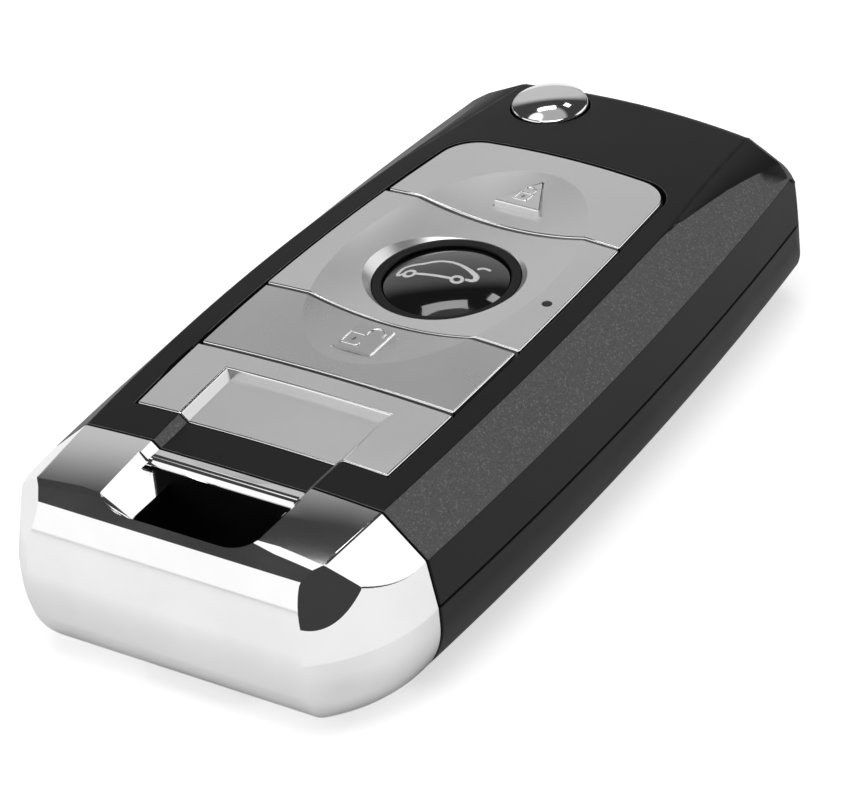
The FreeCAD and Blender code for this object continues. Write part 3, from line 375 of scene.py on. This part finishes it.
def merged_copy(solid, merge):
    """A bmesh of the solid with doubles closer than this many mm merged, and its flat triangles joined."""
    work = bmesh.new()
    work.from_mesh(solid)
    bmesh.ops.remove_doubles(work, verts=work.verts, dist=merge * MM)
    bmesh.ops.dissolve_limit(work, angle_limit=FLAT_ANGLE, verts=work.verts, edges=work.edges,
                             use_dissolve_boundaries=False, delimit=set())
    return work


def is_ridge(edge):
    """True where two faces meet outwards at more than the ridge angle."""
    return len(edge.link_faces) == 2 and edge.calc_face_angle_signed(0.0) > RIDGE_ANGLE


def ridges_that(work, wanted):
    """The ridges whose middle, in mm, and two faces pass a test."""
    return [edge for edge in work.edges if is_ridge(edge)
            and wanted((edge.verts[0].co + edge.verts[1].co) / 2 / MM, edge.link_faces)]


def bevelled(work, edges, width):
    """Bevels these edges by one facet, and gives the new facets."""
    made = bmesh.ops.bevel(work, geom=edges, offset=width, offset_type="OFFSET", segments=1, profile=0.5,
                           affect="EDGES", clamp_overlap=False, material=-1)
    return made["faces"]


def back_on_the_skin(work, solid, width):
    """Where short edges crowd, a bevel can throw a vertex out: it goes back on the solid's surface."""
    skin = skin_of(solid)
    for vert in work.verts:
        nearest, _, _, gap = skin.find_nearest(vert.co)
        if gap > width:
            vert.co = nearest


print("ridge angle in degrees:", round(degrees(RIDGE_ANGLE), 1))

# %% [markdown]
# ## Normals from the solid
#
# A bevel one facet wide looks round when the normals along its two rims are those of the faces beside it. All
# other corners take the normal that the solid has at the same place, because those are exact on its curved
# faces. Where several surfaces meet at one place, the normal nearest to the face's own is the right one.

# %% Normals for the softened copies
SLIVER = 0.0001 * MM * MM
CORNERS_TO_ASK = 16
SAME_PLACE = 0.02 * MM
SAME_SURFACE = 0.94


def facet_guides(work, facets):
    """For each corner of a bevel facet, the normal of the face beside it."""
    guides = {}
    for face in facets & set(work.faces):
        for vert in face.verts:
            beside = [f.normal.copy() for f in vert.link_faces if f not in facets and f.calc_area() > SLIVER]
            if beside:
                guides[face.index, vert.index] = max(beside, key=face.normal.dot)
    return guides


def exact_normals(mesh, solid, guides, chamfered, lean):
    """A normal for every corner: the solid's where it has one of that surface, or else the face's."""
    places = KDTree(len(solid.loops))
    for loop in solid.loops:
        places.insert(solid.vertices[loop.vertex_index].co, loop.index)
    places.balance()
    own = [Vector(corner.vector) for corner in solid.corner_normals]
    normals = []
    for face in mesh.polygons:
        face.use_smooth = True
        for index in face.loop_indices:
            spot = mesh.vertices[mesh.loops[index].vertex_index]
            wanted = guides.get((face.index, spot.index), face.normal)
            near = places.find_n(spot.co, CORNERS_TO_ASK)
            reach = near[0][2] + SAME_PLACE
            best = max((own[i] for _, i, gap in near if gap <= reach), key=wanted.dot)
            if best.dot(wanted) <= SAME_SURFACE or face.index in chamfered:
                best = wanted
            normals.append(lean(spot.co / MM, best) if lean else best)
    return normals


print("normals come from the solids")


# %% The edge softener
def finished_faces(work, plain, facets, facet_highlight, painted):
    """Gives facets and faces that pass a test their own finish, and lists the finishes in use."""
    finishes = [plain]
    if facet_highlight:
        finishes.append(facet_highlight)
        for face in facets:
            face.material_index = 1
    if painted:
        test, paint = painted
        finishes.append(paint)
        for face in work.faces:
            if test(face.calc_center_median() / MM, face in facets):
                face.material_index = len(finishes) - 1
    return finishes


def softened(name, width, merge=0.0005, facet_highlight=None, painted=None, lean=None, skipped=None,
             chamfer=None):
    """A copy of a node with its ridges bevelled by this width, shaded with the solid's own normals.

    The bevel facets may have a finish of their own, such as a painted highlight, the faces whose middle
    passes a test another, such as painted shade, and a rule may lean the normals further where the real
    surface rolls over.
    Ridges that pass a test may be left alone, and those that pass another may get a flat chamfer of their own
    width.
    """
    solid = key_nodes[name].data
    work = merged_copy(solid, merge)
    flat_mark = work.faces.layers.int.new("flat_chamfer")
    if chamfer:
        on_crease, chamfer_width = chamfer
        for face in bevelled(work, ridges_that(work, on_crease), chamfer_width):
            face[flat_mark] = 1

    def to_soften(middle, faces):
        left_alone = skipped and skipped(middle, faces)
        return not left_alone and not any(face[flat_mark] for face in faces)

    ridges = ridges_that(work, to_soften)
    facets = set(bevelled(work, ridges, width))
    back_on_the_skin(work, solid, width)
    bmesh.ops.triangulate(work, faces=[f for f in work.faces if len(f.verts) > 4])
    finishes = finished_faces(work, solid.materials[0], facets, facet_highlight, painted)
    work.faces.index_update()
    work.verts.index_update()
    chamfered = {face.index for face in work.faces if face[flat_mark]}
    guides = facet_guides(work, facets)
    mesh = bpy.data.meshes.new(name + "_soft")
    work.to_mesh(mesh)
    work.free()

    mesh.normals_split_custom_set(exact_normals(mesh, solid, guides, chamfered, lean))
    for paint in finishes:
        mesh.materials.append(paint)
    piece = bpy.data.objects.new(name + "_soft", mesh)
    scene.collection.objects.link(piece)
    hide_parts(name)
    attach(piece, key_nodes[name]["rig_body"])
    print(piece.name, "ridges", len(ridges), "faces", len(mesh.polygons))


print("softener ready for", len(key_nodes), "nodes")

# %% [markdown]
# ## Panel pieces
#
# The lines of light round the four silver pieces are highlights on the rounded edges of the same moulding,
# and their facets also get a lighter, glossier silver: a painted highlight. The bezel, the pinhole and the
# soft rim of the thumb dish are rounded in the solids already and are left alone.

# %% Soften the panel pieces
TRUNK_BUTTON_CENTRE = (0.0, 5.1)
BEZEL_REACH = 8.0
PINHOLE_CENTRE = (10.85, 3.78)
PINHOLE_REACH = 1.0
NEARLY_LEVEL = 0.8


def round_the_holes(middle, faces):
    """The bezel, the pinhole and the soft rim of the thumb dish."""
    bezel_gap = (middle.xy - Vector(TRUNK_BUTTON_CENTRE)).length
    pinhole_gap = (middle.xy - Vector(PINHOLE_CENTRE)).length
    on_dish_rim = min(face.normal.z for face in faces) > NEARLY_LEVEL
    return on_dish_rim or bezel_gap < BEZEL_REACH or pinhole_gap < PINHOLE_REACH


for plate in ("lower_plate", "middle_plate", "lock_button", "unlock_button"):
    softened(plate, 0.17 * MM, merge=0.02, facet_highlight=bright_edge, skipped=round_the_holes)

# %% [markdown]
# ## End cap
#
# The plating bridges the crease between the arms and the lip with a flat land, which flashes white on the
# right arm. The funnel's rim and the corner facets stay crisp, as plated edges of large flat mirrors look.
# Deep in the keyring slot and under its bar the plating sees no light, so that shade is painted there as dead
# black. The normals of the arms' tops roll over towards the lip, which darkens their reflection.

# %% Soften the end cap
SLOT_HALF_WIDTH = 5.4
SLOT_Y = (-34.95, -28.4)
SLOT_TOP = 14.0
BAR_HALF_WIDTH = 7.2
BAR_FRONT_Y = -28.5
BAR_FRONT_REACH = 0.05
FUNNEL_HALF_WIDTH = 8.3
FUNNEL_Y = (-36.0, -27.2)
FUNNEL_FOOT = 13.5
CREASE_START_X = 5.5
CREASE_Y = (-35.2, -34.0)
CREASE_FOOT = 16.0
ROLL_START_Y = -26.8
ROLL_LENGTH = 9.0
ROLL_TURN = radians(5.0)


def within(value, ends):
    """True between two ends."""
    return ends[0] < value < ends[1]


def in_keyring_slot(middle, is_facet):
    """The slot's walls and the front of the bar, where their shade is painted as dead black."""
    under_bar = abs(middle.x) < BAR_HALF_WIDTH and abs(middle.y - BAR_FRONT_Y) < BAR_FRONT_REACH
    in_slot = abs(middle.x) < SLOT_HALF_WIDTH and within(middle.y, SLOT_Y) and middle.z < SLOT_TOP
    return under_bar or in_slot


def on_lip_crease(middle, faces):
    """The crease between an arm's top and the lip, beside the slot."""
    in_place = abs(middle.x) > CREASE_START_X and within(middle.y, CREASE_Y) and middle.z > CREASE_FOOT
    return in_place and all(abs(face.normal.x) < 0.2 for face in faces)


def kept_crisp(middle, faces):
    """The funnel's rim and the edges of the two corner facets."""
    round_funnel = (abs(middle.x) < FUNNEL_HALF_WIDTH and within(middle.y, FUNNEL_Y)
                    and middle.z > FUNNEL_FOOT)
    return round_funnel or any(abs(face.normal.x) > 0.55 and face.normal.y < -0.6 for face in faces)


def rolled_lip(place, normal):
    """Leans the normals of the arms' tops further and further towards the lip."""
    if normal.z < 0.95 or place.y > ROLL_START_Y:
        return normal
    turn = ROLL_TURN * min((ROLL_START_Y - place.y) / ROLL_LENGTH, 1.0)
    return Matrix.Rotation(turn, 3, "X") @ normal


# The keyring slot and the bar's front get the painted shade.
softened("end_cap", 0.15 * MM, merge=0.05, painted=(in_keyring_slot, gap_black), lean=rolled_lip,
         skipped=kept_crisp, chamfer=(on_lip_crease, 0.4 * MM))

# %% [markdown]
# ## Shells, ring and release button
#
# The two shells meet in a fine groove, which is the pair of bevel facets at the parting height, with its
# shade painted as dead black.
# At the far corners a flat facet cuts the top. Its inner rim doesn't show on the real key, so the normals
# there turn slowly from the top's to the facet's own, and its rims are left without a bevel.

# %% Soften the shells, the ring and the release button
PARTING_HEIGHT = 8.75
PARTING_REACH = 0.2
FAR_FACET_START_Y = 21.0
FAR_FACET_TILT = (0.41, 0.10, 0.906)
TOP_BESIDE_FACET = (0.05, 0.07, 1.0)
SAME_PLANE = 0.99
INNER_RIM_X, INNER_RIM_Y, INNER_RIM_SLOPE = 11.6, 35.8, 0.15
OUTER_RIM_X, OUTER_RIM_Y, OUTER_RIM_SLOPE = 14.95, 35.3, -0.105


def at_parting_line(middle, is_facet):
    """The bevel facets where the two shells meet, where the groove's shade is painted."""
    return is_facet and abs(middle.z - PARTING_HEIGHT) < PARTING_REACH


def on_side_of(place, direction):
    """A direction for the right side, mirrored for places on the left side."""
    return Vector((direction[0] if place.x > 0.0 else -direction[0], *direction[1:]))


def at_far_facet(middle, faces):
    """The rims of the two far facets."""
    facet = on_side_of(middle, FAR_FACET_TILT).normalized()
    return middle.y > FAR_FACET_START_Y and any(face.normal.dot(facet) > SAME_PLANE for face in faces)


def blended_far_facet(place, normal):
    """Turns a far facet's normals into the top's towards its inner rim."""
    facet = on_side_of(place, FAR_FACET_TILT).normalized()
    if place.y < FAR_FACET_START_Y or normal.dot(facet) < SAME_PLANE:
        return normal
    inner_rim = INNER_RIM_X + INNER_RIM_SLOPE * (INNER_RIM_Y - place.y)
    outer_rim = OUTER_RIM_X + OUTER_RIM_SLOPE * (OUTER_RIM_Y - place.y)
    across = (abs(place.x) - inner_rim) / max(outer_rim - inner_rim, 0.1)
    top = on_side_of(place, TOP_BESIDE_FACET)
    return top.lerp(facet, min(max(across, 0.0), 1.0)).normalized()


# The parting groove on both shells gets the painted shade.
softened("top_shell", 0.14 * MM, merge=0.04, painted=(at_parting_line, gap_black), lean=blended_far_facet,
         skipped=at_far_facet)
softened("bottom_shell", 0.14 * MM, merge=0.04, painted=(at_parting_line, gap_black))
softened("trunk_ring", 0.12 * MM)
softened("release_button", 0.18 * MM)

# %% [markdown]
# ## Marks on the buttons
#
# The marks are lines of even width that hug the button below them: raised silver on the two pads, white print
# under the gloss on the trunk button. Each line starts as a flat curve with a round bevel. Its mesh is then
# laid on the button: every vertex takes the height of the surface under it plus a small part of its own.


# %% Points for the lines
PACE = 0.15
ABOVE_THE_KEY = 30.0 * MM


def heights_of(name):
    """Finds heights on a node from straight above."""
    skin = skin_of(key_nodes[name].data)

    def height(x, y):
        return skin.ray_cast(Vector((x, y, ABOVE_THE_KEY)), Vector((0.0, 0.0, -1.0)))[0].z
    return height


def stepped(corners, closed):
    """Points close together along straight lines, so that the line can follow the surface."""
    corners = list(corners) + [corners[0]] * closed
    points = []
    for start, end in zip(corners, corners[1:]):
        run = Vector(end) - Vector(start)
        steps = max(1, round(run.length / PACE))
        points += [tuple(Vector(start) + run * (i / steps)) for i in range(steps)]
    return points + [corners[-1]]


def ring(x, y, radius, count=10):
    """Points round a circle, for a closed smooth line."""
    spoke = Vector((radius, 0.0))
    points = []
    for step in range(count):
        turned = spoke.copy()
        turned.rotate(Matrix.Rotation(radians(360 / count * step), 2))
        points.append((x + turned.x, y + turned.y))
    return points


print("a ring of", len(ring(0.0, 0.0, 1.0)), "points")


# %% Lay lines on a button
def marked(name, node, lines, width, rise, material):
    """A mark made of lines, each (points in mm, closed, smooth), laid on a node and riding with it.

    A third number in a point makes the line that much thicker there.
    """
    curve = bpy.data.curves.new(name, "CURVE")
    curve.dimensions = "3D"
    curve.bevel_depth = width / 2
    curve.bevel_resolution = 2
    curve.use_fill_caps = True
    curve.resolution_u = 8
    for points, closed, smooth in lines:
        if not smooth:
            points = stepped(points, closed)
        spline = curve.splines.new("BEZIER")
        spline.bezier_points.add(len(points) - 1)
        spline.use_cyclic_u = closed and smooth
        for spot, point in zip(spline.bezier_points, points):
            spot.co = (point[0] * MM, point[1] * MM, 0.0)
            spot.radius = point[2] if len(point) > 2 else 1.0
            spot.handle_left_type = spot.handle_right_type = "AUTO" if smooth else "VECTOR"
    drawing = bpy.data.objects.new(name + "_drawing", curve)
    scene.collection.objects.link(drawing)
    bpy.context.view_layer.update()
    mesh = bpy.data.meshes.new_from_object(drawing.evaluated_get(bpy.context.evaluated_depsgraph_get()))
    bpy.data.objects.remove(drawing)
    mesh.name = name
    height = heights_of(node)
    for vert in mesh.vertices:
        vert.co.z = height(vert.co.x, vert.co.y) + vert.co.z / (width / 2) * rise
    for face in mesh.polygons:
        face.use_smooth = True
    mesh.materials.clear()
    mesh.materials.append(material)
    piece = bpy.data.objects.new(name, mesh)
    scene.collection.objects.link(piece)
    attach(piece, key_nodes[node]["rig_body"])
    print(name, "vertices", len(mesh.vertices))


# %% Car with an open boot
front_wheel, rear_wheel = (-3.21, 4.37), (1.19, 4.96)
wheel_r = 0.46
car_roof = [(-3.75, 4.2), (-4.13, 4.0), (-4.3, 4.6), (-4.22, 5.15), (-3.9, 5.55), (-2.86, 6.15),
            (-1.94, 6.85), (-1.2, 7.12), (-0.18, 7.16), (0.92, 6.89, 1.25), (1.83, 6.5, 1.6),
            (2.4, 6.1, 1.7), (2.45, 5.55, 1.3), (1.8, 5.3)]
car_sill = [(front_wheel[0] + 0.5, 4.46), (rear_wheel[0] - 0.5, 4.88)]
open_boot = [(1.8, 7.2), (2.15, 7.7), (2.8, 7.75)]
marked("car_mark", "trunk_button",
       [(car_roof, False, True), (car_sill, False, False), (open_boot, False, True),
        (ring(*front_wheel, wheel_r), True, True), (ring(*rear_wheel, wheel_r), True, True)],
       width=0.34 * MM, rise=0.04 * MM, material=mark_white)

# %% Open and closed padlocks
open_lock = [([(0.0, -8.1), (0.0, -8.45), (-1.6, -8.45), (-1.6, -6.85), (-0.15, -6.85)], False, False),
             ([(-0.15, -6.85), (0.0, -6.0), (0.55, -5.65), (1.2, -5.9), (1.35, -6.6)], False, True),
             ([(-0.85, -7.85), (-0.75, -7.5)], False, False)]
# The padlock lines take the lighter, glossier silver of the painted highlight.
marked("open_padlock", "unlock_button", open_lock, width=0.24 * MM, rise=0.1 * MM, material=bright_edge)
closed_lock = [([(-0.85, 17.4), (0.4, 17.4), (0.4, 18.6), (-0.85, 18.6)], True, False),
               ([(-0.65, 18.6), (-0.68, 19.35), (-0.22, 19.62), (0.23, 19.35), (0.2, 18.6)], False, True),
               ([(-0.3, 17.85), (-0.15, 18.15)], False, False)]
marked("closed_padlock", "lock_button", closed_lock, width=0.22 * MM, rise=0.1 * MM, material=bright_edge)

# %% [markdown]
# ## Floor
#
# Chrome has no colour of its own and shows the room instead. In the photograph its front is white, because it
# mirrors the table, and its top is grey with a dark line between: a dim room behind a bright table. The floor
# is white paper to the camera and through glass, and in mirrors it darkens towards the key, as a table does
# in the shade of what lies on it. It keeps the key's shadow.

# %% Floor
KEY_HALF_SIZE = (19.3 * MM, 38.1 * MM, 0.0)
FLOOR_GAP = 0.02 * MM
PAPER_GLOW = 0.62
GLOW_BESIDE_KEY, GLOW_FAR_OFF = 0.10, 0.37
GLOW_REACH = 16.0 * MM
floor_mesh = bpy.data.meshes.new("floor")
floor_work = bmesh.new()
bmesh.ops.create_grid(floor_work, x_segments=1, y_segments=1, size=3.0)
floor_work.to_mesh(floor_mesh)
floor_work.free()
floor = bpy.data.objects.new("floor", floor_mesh)
floor.location.z = -FLOOR_GAP
scene.collection.objects.link(floor)

floor_paper = bpy.data.materials.new("floor_paper")
floor_paper.use_nodes = True
paper = floor_paper.node_tree
paper_shader = paper.nodes["Principled BSDF"]
seen = add(paper, "LightPath")
on_floor = add(paper, "TexCoord").outputs["Object"]
spot = feed(paper, add(paper, "VectorMath", operation="ABSOLUTE"), _0=on_floor)
beyond = feed(paper, add(paper, "VectorMath", operation="SUBTRACT"), _0=spot.outputs[0], _1=KEY_HALF_SIZE)
clear_of_key = feed(paper, add(paper, "VectorMath", operation="MAXIMUM"), _0=beyond.outputs[0],
                    _1=(0.0, 0.0, 0.0))
distance = feed(paper, add(paper, "VectorMath", operation="LENGTH"), _0=clear_of_key.outputs[0])
# Painted shade: the glow that mirrors see is lowered beside the key, like the shade a table has round what
# lies on it.
paler = feed(paper, add(paper, "MapRange"), Value=distance.outputs["Value"], From_Max=GLOW_REACH,
             To_Min=GLOW_BESIDE_KEY, To_Max=GLOW_FAR_OFF)
mirrored_glow = feed(paper, add(paper, "Math", operation="MULTIPLY"), _0=seen.outputs["Is Glossy Ray"],
                     _1=paler.outputs["Result"])
seen_or_through = feed(paper, add(paper, "Math", operation="MAXIMUM"), _0=seen.outputs["Is Camera Ray"],
                       _1=seen.outputs["Is Transmission Ray"])
glow = feed(paper, add(paper, "Math", operation="MULTIPLY_ADD"), _0=seen_or_through.outputs[0],
            _1=PAPER_GLOW, _2=mirrored_glow.outputs[0])
feed(paper, paper_shader, Base_Color=grey(0.80), Roughness=0.9, Specular_IOR_Level=0.0,
     Emission_Color=grey(1.0), Emission_Strength=glow.outputs[0])
floor_mesh.materials.append(floor_paper)
print("floor", floor_mesh.name, "glow", PAPER_GLOW)

# %% [markdown]
# ## Room
#
# The room is a world with a few soft round patches on a dim ground, each where one part of the metal looks. A
# shader group makes a patch from a direction, so that a new one is one more line in the list.

# %% A soft patch
patch_group, patch_in, patch_out = new_group(
    "Soft patch",
    [("Direction", "Vector", None), ("Toward", "Vector", None), ("Inner degrees", "Float", 20.0),
     ("Outer degrees", "Float", 30.0), ("Level", "Float", 1.0)],
    [("Value", "Float")])
toward_unit = feed(patch_group, add(patch_group, "VectorMath", operation="NORMALIZE"),
                   _0=patch_in.outputs["Toward"])
nearness = feed(patch_group, add(patch_group, "VectorMath", operation="DOT_PRODUCT"),
                _0=patch_in.outputs["Direction"], _1=toward_unit.outputs[0])
off_angle = feed(patch_group, add(patch_group, "Math", operation="ARCCOSINE"), _0=nearness.outputs["Value"])
in_degrees = feed(patch_group, add(patch_group, "Math", operation="DEGREES"), _0=off_angle.outputs[0])
patch_fade = add(patch_group, "MapRange", interpolation_type="SMOOTHSTEP")
feed(patch_group, patch_fade, Value=in_degrees.outputs[0], From_Min=patch_in.outputs["Inner degrees"],
     From_Max=patch_in.outputs["Outer degrees"], To_Min=patch_in.outputs["Level"], To_Max=0.0)
feed(patch_group, patch_out, Value=patch_fade.outputs["Result"])
print("group sockets:", [item.name for item in patch_group.interface.items_tree])

# %% Room of soft patches
world = bpy.data.worlds.new("studio_room")
scene.world = world
world.use_nodes = True
room = world.node_tree
room.nodes.clear()
direction = add(room, "TexCoord").outputs["Generated"]
DIM_ROOM = 0.05
# Each patch: direction, inner and outer radius in degrees, level, and what mirrors it to the camera.
PATCHES = [
    ((-0.47, -0.80, 0.38), 27.0, 31.5, 1.1),  # faces to the front, such as the cap's bulge
    ((0.60, 0.72, 0.36), 20.0, 30.0, 1.2),  # bevels on the right
    ((-0.53, 0.78, 0.32), 17.0, 29.0, 0.58),  # level tops
    ((-0.97, -0.05, 0.22), 10.0, 16.0, 0.8),  # faces that lean to the left and the front
    ((0.20, -0.97, 0.12), 5.0, 8.0, 0.7),  # the low right end of the cap's front
    ((-0.40, 0.11, 0.91), 7.0, 9.5, 1.2),  # the land along the lip
    ((-0.16, 0.22, 0.96), 14.0, 20.0, 0.45),  # tops that lean a little to the camera
]
brightest = DIM_ROOM
for toward, inner, outer, level in PATCHES:
    patch = feed(room, add(room, "Group", node_tree=patch_group), Direction=direction, Toward=toward,
                 Inner_degrees=inner, Outer_degrees=outer, Level=level)
    brightest = feed(room, add(room, "Math", operation="MAXIMUM"), _0=brightest,
                     _1=patch.outputs[0]).outputs[0]
room_seen = add(room, "LightPath")
seen_as_paper = feed(room, add(room, "Math", operation="MAXIMUM"), _0=room_seen.outputs["Is Camera Ray"],
                     _1=room_seen.outputs["Is Transmission Ray"])
backdrop = add(room, "Mix", data_type="FLOAT")
feed(room, backdrop, _0=seen_as_paper.outputs[0], _2=brightest, _3=1.0)
light = add(room, "Background")
feed(room, light, Color=backdrop.outputs[0], Strength=1.0)
feed(room, add(room, "OutputWorld"), Surface=light.outputs[0])
print("patches in the room:", len(PATCHES))

# %% [markdown]
# ## Lamps
#
# One large soft box overhead lights everything at a plain level. Two small ones are windows, which the black
# dome of the trunk button mirrors as the patches of light that tell a dome from a flat disc.


# %% Soft boxes
def softbox(name, towards, distance, width, depth, power):
    """A rectangular lamp in this direction from the key, facing it."""
    lamp = bpy.data.lights.new(name, "AREA")
    lamp.shape = "RECTANGLE"
    lamp.size = width
    lamp.size_y = depth
    lamp.energy = power
    made = bpy.data.objects.new(name, lamp)
    scene.collection.objects.link(made)
    way = Vector(towards).normalized()
    made.location = way * distance
    made.rotation_euler = way.to_track_quat("Z", "Y").to_euler()


softbox("overhead_box", (0.15, -0.25, 1.0), distance=0.8, width=0.55, depth=0.55, power=3.0)
softbox("wide_window", (-0.33, 0.43, 0.84), distance=0.7, width=0.20, depth=0.07, power=0.16)
softbox("narrow_window", (-0.12, 0.66, 0.74), distance=0.7, width=0.06, depth=0.07, power=0.05)
